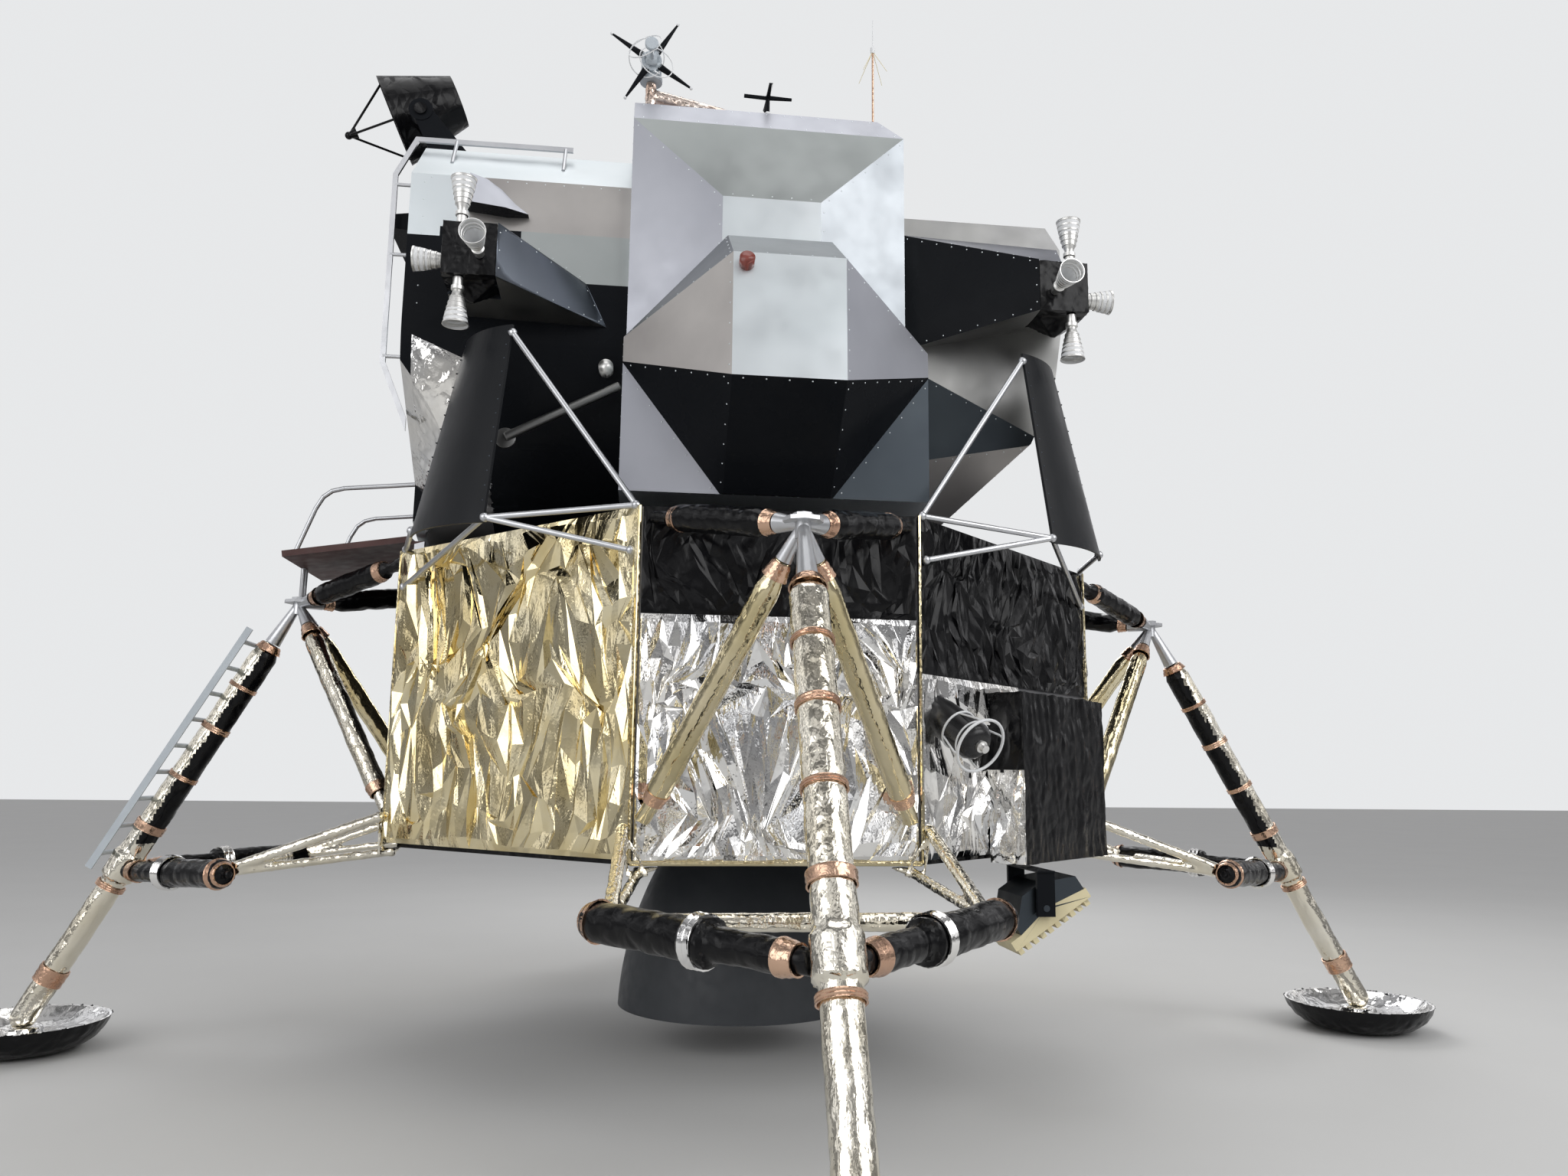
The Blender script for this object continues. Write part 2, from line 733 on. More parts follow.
@dataclass
class Studio:
    """Plain floor, soft lamps, pale surroundings and the camera."""

    eye: Point = (7.518, -0.648, 1.64)
    turn: Point = (-6.98, 9.48, 0.59)
    focal_px: float = 1476.7
    frame_px: float = 2048.0
    sensor: float = 36.0
    floor_half: float = 60.0
    bands: Profile = (
        (0.0, 0.25), (0.07, 0.07), (0.2, 1.1), (0.31, 0.12), (0.43, 1.4), (0.54, 0.13), (0.67, 0.9),
        (0.79, 0.1), (1.0, 0.42),
    )
    sky: tuple[float, ...] = (0.8, 0.81, 0.82, 1)

    def build(self) -> None:
        """Set up everything round the object."""
        self.camera()
        self.floor()
        self.world()
        self.lamps()
        bpy.context.scene.view_settings.view_transform = "Standard"

    def camera(self) -> None:
        """Stand the camera where the photograph was taken, by its yaw, pitch and roll."""
        yaw, pitch, roll = (math.radians(a) for a in self.turn)
        ahead = Vector((-math.cos(yaw) * math.cos(pitch), -math.sin(yaw) * math.cos(pitch), math.sin(pitch)))
        right = ahead.cross(Vector(UP)).normalized()
        up = right.cross(ahead)
        turned = right * math.cos(roll) + up * math.sin(roll)
        upright = up * math.cos(roll) - right * math.sin(roll)
        data = bpy.data.cameras.new("camera")
        data.sensor_width = self.sensor
        data.sensor_fit = "HORIZONTAL"
        data.lens = self.focal_px / self.frame_px * self.sensor
        data.clip_end = 500
        turn = Matrix((turned, upright, -ahead)).transposed().to_4x4()
        bpy.context.scene.camera = linked("camera", data, Matrix.Translation(self.eye) @ turn)

    def floor(self) -> None:
        """Lay the pale floor under the footpads."""
        bpy.ops.object.select_all(action="DESELECT")
        bpy.ops.mesh.primitive_plane_add(size=2 * self.floor_half, location=(0, 0, -0.002))
        plane = bpy.context.view_layer.objects.active
        plane.name = "studio_floor"
        material = bpy.data.materials.new("pale_floor")
        sheet = NodeSheet(material)
        greys = (0.6, 0.6, 0.59, 1), (0.64, 0.64, 0.63, 1)
        sheet.set(Roughness=0.8, Base_Color=sheet.blended(sheet.noise(0.7, 3), *greys))
        plane.data.materials.append(material)

    def world(self) -> None:
        """Pale to the camera; light and dark bands that wander with a slow noise to everything else."""
        world = bpy.data.worlds.new("studio")
        sheet = NodeSheet(world, "ShaderNodeBackground", "ShaderNodeOutputWorld", "Generated")
        height = sheet.add("ShaderNodeSeparateXYZ", {0: sheet.place}, "Z")
        noise = sheet.noise(2.2, 1.0)
        drift = sheet.add("ShaderNodeMath", {0: noise, 1: 0.9, 2: -0.45}, operation="MULTIPLY_ADD")
        wandering = sheet.add("ShaderNodeMath", {0: height, 1: drift}, operation="ADD")
        greys = sheet.add("ShaderNodeValToRGB", {0: wandering}, "Color")
        stops = greys.node.color_ramp.elements
        while len(stops) < len(self.bands):
            stops.new(0.5)
        for stop, (at, grey) in zip(stops, self.bands):
            stop.position = at
            stop.color = (grey, grey, grey * 1.02, 1)
        straight = sheet.add("ShaderNodeLightPath", {}, "Is Camera Ray")
        sheet.set(Color=sheet.blended(straight, greys, self.sky))
        bpy.context.scene.world = world

    def lamps(self) -> None:
        """Hang the soft lamps: place, aim, size and power of each."""
        rows = [
            ("key", (9.0, 7.5, 8.5), (0, 0, 3.0), 9.0, 640),
            ("fill", (9.0, -8.0, 5.5), (0, -0.5, 3.0), 8.0, 330),
            ("top", (1.0, 0.0, 13.0), (0, 0, 3.0), 8.0, 270),
            ("back", (-8.0, 3.0, 8.0), (0, 0, 3.0), 5.0, 260),
        ]
        for name, place, aim, size, power in rows:
            data = bpy.data.lights.new(name, "AREA")
            data.size = size
            data.energy = power
            turn = (Vector(aim) - Vector(place)).to_track_quat("-Z", "Y").to_matrix().to_4x4()
            linked(name, data, Matrix.Translation(place) @ turn)


# Descent stage


FOLDS = {
    Coat.GOLD: Crush(0.044, 0.135, 0.026, 0.75, (0.18, 0.14)),
    Coat.SILVER: Crush(0.035, 0.11, 0.022, 0.75, (0.18, 0.14)),
    Coat.BLACK: Crush(0.038, 0.07, 0.012, 0.6, (0.34, 0.26), 14.0),
}


@dataclass
class DescentStage:
    """The crushed sheets on the octagonal stage's faces."""

    leg: Point = (2.09, -0.677, 0.677)
    diagonal: Point = (1.9587, -0.985, 0.985)
    bay_side: float = 0.06
    low: float = 1.25
    high: float = 2.935
    black_line: float = 2.41
    bay_line: float = 2.15
    gap: float = 0.003
    first_seed: int = 5

    def places(self) -> list[SheetPlace]:
        """The twelve sheets, face by face from port."""
        rows = []
        for turn in (0, 90, 180):
            rows.append(SheetPlace(Coat.BLACK, turn, *self.leg, self.black_line, self.high))
            rows.append(SheetPlace(Coat.SILVER, turn, *self.leg, self.low, self.black_line - self.gap))
        rows.append(SheetPlace(Coat.BLACK, 270, *self.leg, self.low, self.high))
        rows.append(SheetPlace(Coat.BLACK, 45, *self.diagonal, self.bay_line, self.high))
        rows.append(SheetPlace(Coat.SILVER, 45, *self.diagonal[:2], self.bay_side, self.low,
                               self.bay_line - self.gap))
        rows += [SheetPlace(Coat.GOLD, turn, *self.diagonal, self.low, self.high) for turn in (135, 225, 315)]
        return rows

    def build(self) -> None:
        """Lay all the sheets, one piece for each coat."""
        sheets: dict[Coat, list[Thing]] = {coat: [] for coat in FOLDS}
        for seed, row in enumerate(self.places(), self.first_seed):
            sheet = FOLDS[row.coat].sheet(row, seed)
            settle(sheet, Matrix.Rotation(math.radians(row.turn), 4, "Z"))
            sheets[row.coat].append(sheet)
        for coat, pieces in sheets.items():
            word = coat.name.lower()
            whole = joined(pieces, f"{word}_sheets")
            mounted(whole, coat, replaced=[f"blankets_{word}"], slot=f"{word}_foil")


@dataclass(frozen=True)
class Wrap:
    """A CAD node covered again in creased film or blanket."""

    node: str
    name: str
    slot: str
    coats: tuple[Coat, ...]
    voxel: float
    creases: tuple[Creases, ...]
    rule: Rule | None = None
    sharp: float = 18.0

    def build(self) -> None:
        """Copy the node, remesh it finely, crease it and dress it."""
        obj = crumpled(cad_copy(self.node, self.name), self.voxel, self.creases, self.sharp)
        mounted(obj, *self.coats, rule=self.rule, replaced=[self.node], slot=self.slot)


def two_tone(middle: Vector, normal: Vector) -> int:
    """Black on the inboard side of the fore and aft struts, bright film elsewhere."""
    if abs(middle.y) < 1.5 or middle.z < 1.2:
        return 0
    inboard = Vector((0, -math.copysign(1, middle.y), -0.35))
    return int(normal.dot(inboard) > 0.1)


def brace_coat(middle: Vector, normal: Vector) -> int:
    """Smooth film on the side legs' braces; on the fore and aft legs one is pale and one gold."""
    if abs(middle.y) < 1.2:
        return 0
    return 2 if middle.x < 0 else int(middle.y < 0)


def bay_box_coat(middle: Vector, normal: Vector) -> int:
    """Silver film on the lower half of the bay box's forward side, black blanket elsewhere."""
    return int(middle.z < 1.68 and normal.x - normal.y > 0.9)


def pad_inside(middle: Vector, normal: Vector) -> int:
    """Film inside the footpads, black below."""
    return int(normal.z <= 0.2)


EVEN = (1, 1, 1)
LEG_WRAPS = (
    Wrap("leg_lower_tubes", "lower_tube_wraps", "gold_foil", (Coat.GOLD_WRAP, Coat.WRAP, Coat.GOLD), 0.012,
         (Creases(0.13, 0.012, (1, 1, 3.0), ORIGIN, 1.9), Creases(0.05, 0.005, (1, 1, 2.0), ORIGIN, 4.9)),
         brace_coat),
    Wrap("leg_upper_tubes", "upper_tube_wraps", "black_foil", (Coat.BLACK,), 0.014,
         (Creases(0.12, 0.016, EVEN, ORIGIN, 2.9, True), Creases(0.06, 0.008, EVEN, ORIGIN, 8.1))),
    Wrap("primary_struts", "primary_strut_wraps", "strut_foil", (Coat.WRAP, Coat.BLACK), 0.014,
         (Creases(0.11, 0.014, (1, 1, 1.8), ORIGIN, 3.3), Creases(0.045, 0.006, (1, 1, 1.4), ORIGIN, 7.3)),
         two_tone),
    Wrap("secondary_struts", "secondary_strut_wraps", "black_foil", (Coat.BLACK,), 0.013,
         (Creases(0.09, 0.014, EVEN, ORIGIN, 5.2), Creases(0.14, 0.014, EVEN, ORIGIN, 1.1, True))),
    Wrap("bay_box", "bay_cover", "black_foil", (Coat.BLACK, Coat.SILVER), 0.015,
         (Creases(0.1, 0.03, (1, 1, 4.0), (8, 5, 20), 4.7),
          Creases(0.06, 0.012, (1, 1, 2.4), (-30, 5, 0), 3.1)), bay_box_coat),
    Wrap("thruster_boxes", "thruster_covers", "black_foil", (Coat.BLACK,), 0.01,
         (Creases(0.07, 0.01, EVEN, (20, 5, 9), 5.9), Creases(0.035, 0.005, EVEN, ORIGIN, 3.8))),
    Wrap("strut_trusses", "truss_wraps", "strut_foil", (Coat.WRAP,), 0.011,
         (Creases(0.06, 0.01, EVEN, ORIGIN, 4.4),)),
    Wrap("strut_crossbars", "crossbar_wraps", "silver_foil", (Coat.WRAP,), 0.012,
         (Creases(0.08, 0.012, EVEN, ORIGIN, 6.4),)),
    Wrap("footpads", "footpad_wraps", "pad_foil", (Coat.SILVER, Coat.BLACK), 0.014,
         (Creases(0.09, 0.016, EVEN, ORIGIN, 2.4), Creases(0.035, 0.006, EVEN, ORIGIN, 9.4)), pad_inside),
)


# Panelled skins and their rivets


@dataclass(frozen=True)
class Rivets:
    """Rows of small domed rivets just inside the sharp edges of a panelled piece."""

    inset: float = 0.018
    pitch: float = 0.105
    radius: float = 0.0045
    sharp: float = 9.0
    shortest: float = 0.12
    smallest: float = 0.00001
    keep: Callable[[Vector, Vector], bool] | None = None

    def row(self, start: Vector, end: Vector, shift: Vector, normal: Vector) -> list[Matrix]:
        """The places along one edge of one panel."""
        count = max(2, round((end - start).length / self.pitch))
        spots = [start.lerp(end, (i + 0.5) / count) + shift for i in range(count)]
        return [aimed(spot, normal) for spot in spots if self.keep is None or self.keep(spot, normal)]

    def places(self, skin: Thing) -> list[Matrix]:
        """The places of all rivets on a skin with merged points, +Z out of its panels."""
        borders: dict[tuple[int, int], list[bpy.types.MeshPolygon]] = {}
        for face in skin.data.polygons:
            for key in face.edge_keys:
                borders.setdefault(key, []).append(face)
        rows = []
        for key, pair in borders.items():
            start, end = (skin.data.vertices[i].co.copy() for i in key)
            short = (end - start).length < self.shortest
            if len(pair) != 2 or short or min(face.area for face in pair) < self.smallest:
                continue
            face, other = pair
            if face.normal.angle(other.normal) < math.radians(self.sharp):
                continue
            shift = face.normal.cross(end - start).normalized() * self.inset
            if shift.dot(face.center - start) < 0:
                shift.negate()
            rows += self.row(start, end, shift, face.normal)
        return rows

    def pattern(self) -> Thing:
        """One low domed rivet."""
        r = self.radius
        return spun([(0, r * 0.6), (r * 0.7, r * 0.4), (r, 0), (0, -r * 0.1)], "rivet", 8)


@dataclass(frozen=True)
class Skin:
    """A CAD node's own panels with a coat for each, and rivets along their edges."""

    node: str
    slot: str
    coats: tuple[Coat, ...]
    rule: Rule | None = None
    cuts: Pairs = ()
    rivets: Rivets | None = None
    rivet_coat: Coat = Coat.SATIN
    body: str = "vehicle"
    sharp: float = 5.0

    def build(self) -> None:
        """Copy the node, cut its panels apart, coat them and set the rivets."""
        obj = cad_copy(self.node, f"{self.node}_panels")
        rows = self.rivets.places(obj) if self.rivets else []
        cut(obj, self.cuts)
        mounted(smooth(obj, self.sharp), *self.coats, rule=self.rule, body=self.body, replaced=[self.node],
                slot=self.slot)
        if rows:
            studs = scattered(self.rivets.pattern(), rows, f"{self.node}_rivets")
            mounted(smooth(studs, 50), self.rivet_coat, body=self.body)


# Where each coat goes. The cabin's levels and lengths are its panels' borders, so they are cut there too.

BELT, LEDGE, BROW, CABIN_ROOF = 4.46, 4.7, 4.76, 5.07
WAIST, FORE_EYE = 4.2, 4.86
SHIELD_END, FILM_END, BROW_END, CORNER = -1.44, -1.6, -1.74, -1.9
FILM_START, FILM_TOP, FILM_SLOPE = -2.091, 4.125, 0.411
BOX, BOX_FACE, TANK = 1.335, 1.855, 1.87
PORCH_START, PORCH_TOP, PORCH_SLOPE = -2.86, 2.93, 0.158


def housing_coat(middle: Vector, normal: Vector) -> int:
    """Coats of a tank housing: 0 pale, 1 mid, 2 dim, 3 black, 4 steel, 5 warm, 6 plain."""
    reach, aft = abs(middle.x), middle.y > 0
    if reach > 1.86 and normal.z < -0.05:
        return 3
    if reach > 1.86 and normal.z > 0.5:
        return 2
    if BOX_FACE < reach < BOX_FACE + 0.02 and abs(normal.x) > 0.98:
        return 4 if aft else 1
    if reach > TANK:
        if abs(normal.y) < 0.05:
            return 0
        return 1 if aft else 5
    if middle.z > 5.45:
        return 1
    if reach > BOX and normal.z > 0.12:
        return 6
    if reach > BOX and abs(normal.y) > 0.1 and middle.y > -0.8:
        return 2 if normal.y > 0 else 1
    return 0


def cabin_coat(middle: Vector, normal: Vector) -> int:
    """Coats of the cabin's side: 0 pale, 1 plain, 2 warm, 3 black, 4 crushed film."""
    along, up = middle.y, middle.z
    if up > CABIN_ROOF:
        return 0
    if up > BROW:
        return 2 if along > BROW_END else 0
    if up > BELT and along > SHIELD_END:
        return 1
    if up > LEDGE and along < CORNER:
        return 0
    line = FILM_TOP - (along - FILM_START) * FILM_SLOPE
    return 4 if along < FILM_END and up < line else 3


def face_coat(middle: Vector, normal: Vector) -> int:
    """Coats of the cabin's front: 0 pale, 1 black, 2 crushed film."""
    if normal.z < -0.2 and normal.y < -0.2:
        return 2
    if middle.y < -2.075 and middle.z > FORE_EYE:
        return 1
    if abs(normal.x) > 0.5 and middle.z < LEDGE:
        return 1
    return int(middle.z < WAIST and abs(middle.x) > 0.6)


def bay_coat(middle: Vector, normal: Vector) -> int:
    """Coats of the aft bay: 0 pale, 1 grey, 2 dark, 3 warm, 4 black."""
    if normal.z > 0.2:
        return 0
    if abs(normal.x) < 0.5:
        return 4
    if normal.z > -0.2:
        return 1
    return 2 if normal.z > -0.45 else 3


def boom_coat(middle: Vector, normal: Vector) -> int:
    """Coats of the thruster fairings: 0 black, 1 pale roof, 2 grey underside, 3 steel."""
    if abs(normal.z) > 0.4:
        return 1 if normal.z > 0 else 2
    return 3 if middle.y < 0 and abs(normal.x) > 0.5 else 0


def outside(middle: Vector, normal: Vector) -> bool:
    """Whether a rivet is on the outside of the cabin's shell."""
    return abs(middle.x) > 1.16 or middle.z > 5.0


DISH_HUB = (1.06, -0.72, 5.97)
DISH_WAY = (0.9962, 0.0, -0.0872)


def dish_coat(middle: Vector, normal: Vector) -> int:
    """Coats of the steerable head, outward from its axis: 1 grey hub, 0 black spokes, 2 white tips."""
    reach = Vector(middle) - Vector(DISH_HUB)
    along = Vector(DISH_WAY).normalized()
    off = (reach - along * reach.dot(along)).length
    return 2 if off > 0.279 else int(off < 0.064)


def ground_radar_coat(middle: Vector, normal: Vector) -> int:
    """Coats of the landing radar: 0 dark housing, 1 cream ribbed face."""
    return int(-0.559 * (middle.y - 1.345) + 0.829 * (middle.z - 1.015) < -0.044)


def porch_coat(middle: Vector, normal: Vector) -> int:
    """Coats of the porch: 0 board, 1 bare posts and brackets."""
    board = PORCH_TOP + (middle.y - PORCH_START) * PORCH_SLOPE
    return int(not board - 0.012 <= middle.z <= board + 0.06)


def light_coat(middle: Vector, normal: Vector) -> int:
    """Coats of the lights: 0 red lens outboard, 1 bare metal nearer the middle."""
    return int(middle.x < 1.8)


def level(*heights: float) -> Pairs:
    """Level cuts at these heights."""
    return tuple(((0, 0, height), UP) for height in heights)


SIDES = ("port", "starboard")
CABIN_CUTS = (
    *level(BELT, BROW, LEDGE), *(((0, y, 0), (0, 1, 0)) for y in (SHIELD_END, CORNER, FILM_END, BROW_END)),
    ((0, FILM_START, FILM_TOP), (0, FILM_SLOPE, 1)),
)
CABIN_COATS = (Coat.SATIN, Coat.PLAIN, Coat.WARM, Coat.NIGHT, Coat.SILVER)
HOUSING_COATS = (Coat.SATIN, Coat.MID, Coat.DIM, Coat.NIGHT, Coat.STEEL, Coat.WARM, Coat.PLAIN)
BAY_COATS = (Coat.SATIN, Coat.KEEL, Coat.STEEL, Coat.WARM, Coat.NIGHT)
BOOM_COATS = (Coat.NIGHT, Coat.MID, Coat.KEEL, Coat.BLUED)
SKINS = (
    *(Skin(f"tank_housing_{side}", "silver_panel", HOUSING_COATS, housing_coat, (), Rivets())
      for side in SIDES),
    *(Skin(f"cabin_shell_{side}", "silver_panel", CABIN_COATS, cabin_coat, CABIN_CUTS, Rivets(keep=outside))
      for side in SIDES),
    Skin("cabin_face", "silver_panel", (Coat.SATIN, Coat.NIGHT, Coat.SILVER), face_coat,
         level(FORE_EYE, WAIST, LEDGE)),
    Skin("aft_bay", "grey_panel", BAY_COATS, bay_coat, (), Rivets()),
    Skin("thruster_fairings", "black_panel", BOOM_COATS, boom_coat, (), Rivets()),
    Skin("antenna_head", "black_panel", (Coat.NIGHT, Coat.GREY, Coat.WHITE), dish_coat, body="antenna",
         sharp=30),
    Skin("landing_radar_antenna", "radar_cream", (Coat.STEEL, Coat.CREAM), ground_radar_coat,
         body="landing_radar"),
    Skin("lights", "red_lens", (Coat.LENS, Coat.TURNED), light_coat, sharp=50),
    Skin("porch", "porch_board", (Coat.BOARD, Coat.TUBE), porch_coat),
    Skin("plume_deflectors", "black_panel", (Coat.SLATE,), None, (),
         Rivets(shortest=0.25, pitch=0.08, sharp=40), Coat.STEEL),
)


# Crushed film on the cabin's lower side


@dataclass
class FilmPatch:
    """Crushed silver film over the lower forward part of each cabin side."""

    voxel: float = 0.013
    cuts: Pairs = (
        ((0, -1.585, 0), (0, 1, 0)), ((0, -2.085, 4.12), (0, FILM_SLOPE, 1)), ((0.6, 0, 0), (-1, 0, 0)),
    )
    layers: tuple[Creases, ...] = (
        Creases(0.12, 0.03, (1, 1, 2.8), (35, 0, 0), 3.3, level=0.05),
        Creases(0.07, 0.016, (1, 1, 2.6), (-40, 0, 0), 5.7, level=0.05),
    )

    def build(self) -> None:
        """Cut the port side's film out of the shell, crease it and mirror it."""
        obj = cad_copy("cabin_shell_port", "film_patch")
        cut(obj, self.cuts, use_fill=True, clear_outer=True)
        port = crumpled(obj, self.voxel, self.layers, 14)
        mounted(joined([port, mirrored(port, MIRROR_X)], "cabin_film"), Coat.SILVER)


# Thruster nozzles


def nozzle_coat(middle: Vector, normal: Vector) -> int:
    """Coats of a nozzle on +Z: 0 bare outside, 1 pale inside."""
    return int(middle.z > 0.1 and normal.x * middle.x + normal.y * middle.y < 0)


@dataclass
class Thrusters:
    """The sixteen ringed nozzles of the four clusters."""

    length: float = 0.265
    mouth: float = 0.07
    rings: int = 6
    start: float = 0.095
    throat: float = 0.029
    ring: float = 0.0028
    flare: float = 0.72
    collar: Profile = (
        (0, 0.0), (0.026, 0.0), (0.026, 0.045), (0.034, 0.05), (0.034, 0.07), (0.024, 0.075), (0.027, 0.09),
    )
    inside: Profile = ((0.06, 0.215), (0.046, 0.16), (0.02, 0.105), (0, 0.1))
    ways: Pairs = (
        ((0, 0, 1), (1.668, 1.7, 4.552)), ((0, 0, -1), (1.668, 1.7, 4.248)),
        ((0, 1, 0), (1.64, 1.678, 4.352)), ((1, 0, 0), (1.72, 1.588, 4.366)),
    )

    def nozzle(self) -> Thing:
        """One nozzle on +Z with rings round its bell and a pale inside."""
        bell = []
        for i in range(self.rings):
            for part, lift in ((0.0, 0.0), (0.55, 0.0), (0.62, self.ring), (0.9, self.ring)):
                t = (i + part) / self.rings
                radius = self.throat + (self.mouth - 0.004 - self.throat) * t ** self.flare
                bell.append((radius + lift, self.start + (self.length - self.start) * t))
        lip = [(self.mouth, self.length), (self.mouth - 0.004, self.length)]
        nozzle = spun([*self.collar, *bell, *lip, *self.inside], "nozzle", 28)
        return dressed(nozzle, [Coat.TURNED, Coat.WHITE], nozzle_coat)

    def build(self) -> None:
        """Set all the nozzles, quarter by quarter."""
        quarters = [Vector((x, y, 1)) for x in (-1, 1) for y in (-1, 1)]
        places = [aimed(Vector(foot) * quarter, Vector(way) * quarter) for quarter in quarters
                  for way, foot in self.ways]
        nozzles = scattered(self.nozzle(), places, "ringed_nozzles")
        mounted(smooth(nozzles, 32), replaced=["thruster_nozzles"], slot="nozzle_metal")


# Pale shields beside the cabin's forward thrusters


def shield_coat(middle: Vector, normal: Vector) -> int:
    """Coats of a side shield: 0 pale, 1 dark underside."""
    return int(normal.z < -0.3)


@dataclass
class SideShields:
    """A curved pale shield on each side of the cabin, with a dark underside."""

    wall: float = 1.212
    depth: float = 0.13
    thinnest: float = 0.004
    tip: float = -1.4
    outline: Profile = (
        (-1.747, 4.862), (-1.733, 5.056), (-1.64, 5.04), (-1.56, 4.995), (-1.48, 4.925), (-1.4, 4.845),
        (-1.52, 4.838),
    )

    def build(self) -> None:
        """Both shields, deepest at their forward edge."""
        corners = [(self.wall, y, z) for y, z in self.outline]
        forward = self.outline[0][0]
        ways = [(self.depth * (self.tip - y) / (self.tip - forward) + self.thinnest, 0, 0)
                for y, _ in self.outline]
        port = drawn_out(corners, ways, "shield")
        both = smooth(joined([port, mirrored(port, MIRROR_X)], "side_shields"), 30)
        mounted(both, Coat.MID, Coat.NIGHT, rule=shield_coat)


# Wire loops of the steerable aerial


@dataclass
class DishWires:
    """Thin wire loops round the aerial's stem and the disc at its tip, on the aerial's axis."""

    loop: float = 0.108
    wire: float = 0.0035
    loops: Pairs = (
        ((0.03, -0.045, 0.165), (0.35, 0.25, 0.9)), ((-0.04, 0.02, 0.215), (-0.45, 0.5, 0.75)),
        ((-0.03, -0.01, 0.14), (0.2, -0.55, 0.8)),
    )
    disc: Profile = (
        (0, 0.274), (0.04, 0.274), (0.04, 0.296), (0.036, 0.3), (0, 0.3),
    )

    def build(self) -> None:
        """Bend the loops and set the tip disc."""
        place = aimed(DISH_HUB, DISH_WAY)
        wires = [settle(pipe(circle(at, self.loop, way, 36), self.wire, "loop", True, 1), place)
                 for at, way in self.loops]
        mounted(joined(wires, "dish_loops"), Coat.WHITE, body="antenna")
        mounted(settle(spun(self.disc, "dish_tip", 28), place), Coat.GREY, body="antenna")


# Roof aerials


@dataclass
class Boom:
    """The steerable aerial's wrapped boom: a long slanted leg, a short upright one and the swivel's seat."""

    top: Point = (1.06, -0.7, 5.785)
    foot: Point = (1.12, -0.02, 5.6)
    stem: Point = (1.06, -0.72, 5.59)
    seat: Point = (1.06, -0.72, 5.874)
    voxel: float = 0.007
    layers: tuple[Creases, ...] = (
        Creases(0.055, 0.012, EVEN, (10, 5, 0), 2.2), Creases(0.022, 0.004, seed=6.6),
    )

    def build(self) -> None:
        """Join the legs, wrap them and lay the seat on top."""
        legs = [bar(self.foot, self.top, 0.046, "leg"), bar(self.stem, self.seat, 0.038, "leg")]
        wrapped = crumpled(joined(legs, "boom_wrap"), self.voxel, self.layers, 20)
        mounted(wrapped, Coat.BOOM, replaced=["antenna_boom"], slot="silver_foil")
        seat = spun([(0, 0), (0.068, 0), (0.07, 0.004), (0.07, 0.022), (0, 0.024)], "boom_seat")
        mounted(settle(seat, Matrix.Translation(self.seat)), Coat.GREY)


@dataclass
class RoofAerials:
    """A crossed aerial with flat arms and a thin whip with four drooping wires."""

    roof: float = 5.62
    cross: Point = (1.15, 0.0, 5.78)
    reach: float = 0.148
    mast: Point = (1.15, 0.66, 6.17)
    tip: float = 6.38
    droop: tuple[float, float] = (0.105, 0.19)
    foot: Profile = (
        (0, -0.02), (0.032, -0.02), (0.03, 0.01), (0.018, 0.045), (0.014, 0.062), (0, 0.062),
    )
    collar: Profile = (
        (0, -0.025), (0.012, -0.025), (0.015, -0.01), (0.015, 0.012), (0.006, 0.016), (0, 0.016),
    )

    def arm(self, turn: Matrix) -> Thing:
        """One flat tapered arm that lies along +X, turned about +Z."""
        outline = [(0, -0.012, -0.009), (self.reach, -0.008, -0.006), (self.reach, -0.008, 0.006),
                   (0, -0.012, 0.009)]
        arm = drawn_out(outline, [(0, 0.024, 0), (0, 0.016, 0), (0, 0.016, 0), (0, 0.024, 0)], "arm")
        return settle(arm, Matrix.Translation(self.cross) @ turn)

    def crossed(self) -> None:
        """Set the crossed aerial and its foot."""
        x, y, z = self.cross
        mast = bar((x, y, self.roof), (x, y, z + 0.02), 0.012, "mast")
        cross = joined([*map(self.arm, QUARTERS), mast], "cross_aerial")
        mounted(cross, Coat.NIGHT, replaced=["small_aerials"], slot="black_panel")
        foot = settle(spun(self.foot, "foot"), Matrix.Translation((x, y, self.roof)))
        mounted(foot, Coat.WHITE)

    def whip(self) -> None:
        """Set the whip, its collar, tip and wires."""
        x, y, z = self.mast
        mounted(bar((x, y, self.roof - 0.02), (x, y, z - 0.02), 0.0065, "whip_mast"), Coat.COPPER)
        collar = settle(spun(self.collar, "collar"), Matrix.Translation(self.mast))
        tip = bar((x, y, z), (x, y, self.tip), 0.0035, "tip", 0.002, 8)
        mounted(joined([collar, tip], "whip_tip"), Coat.WHITE)
        across, down = self.droop
        wires = []
        for turn in (45, 135, 225, 315):
            east, north = across * math.cos(math.radians(turn)), across * math.sin(math.radians(turn))
            wires.append(bar((x, y, z - 0.01), (x + east, y + north, z - down), 0.0022, "wire", 0.0016, 8))
        mounted(joined(wires, "whip_wires"), Coat.CREAM)

    def build(self) -> None:
        """Set both aerials."""
        self.crossed()
        self.whip()


# Fuel cask


